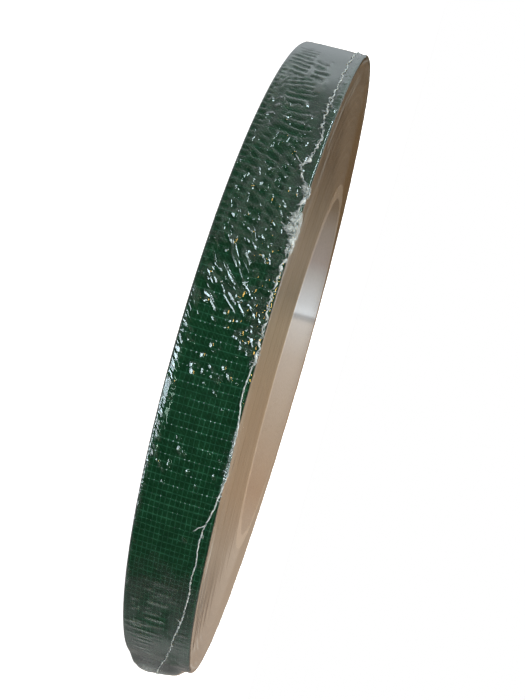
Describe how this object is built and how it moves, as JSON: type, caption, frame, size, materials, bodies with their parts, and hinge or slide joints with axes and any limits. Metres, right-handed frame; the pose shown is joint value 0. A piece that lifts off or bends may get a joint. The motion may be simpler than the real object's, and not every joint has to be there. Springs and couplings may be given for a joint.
{
  "type": "shrink-wrapped floral tape roll",
  "caption": "Narrow, slightly dished roll of green cloth anchor tape on a board core, sealed in clear shrink film with a ragged weld bead near one rim.",
  "frame": {"origin": "centre of the face that the roll lies on, on the roll's axis", "axes": "+Z along the roll's axis, from the face it lies on to the face that the core stands out of, which is the one nearest the film's weld; +X and +Y across the roll, with the tape's free end at 118 degrees from +X"},
  "size_m": [0.1342, 0.1342, 0.0132],
  "materials": {
    "core_board": "matte",
    "tape_edges": "matte",
    "tape_cloth": "satin",
    "clear_film": "gloss",
    "melted_film": "satin"
  },
  "bodies": {
    "root": {"core_ply_1": "core_board", "core_ply_2": "core_board", "core_ply_3": "core_board", "core_ply_4": "core_board", "core_ply_5": "core_board", "tape_winding": "tape_edges", "tape_outer_turn": "tape_cloth", "film_upper_web": "clear_film", "film_lower_web": "clear_film", "film_weld_bead": "melted_film"}
  },
  "joints": []
}
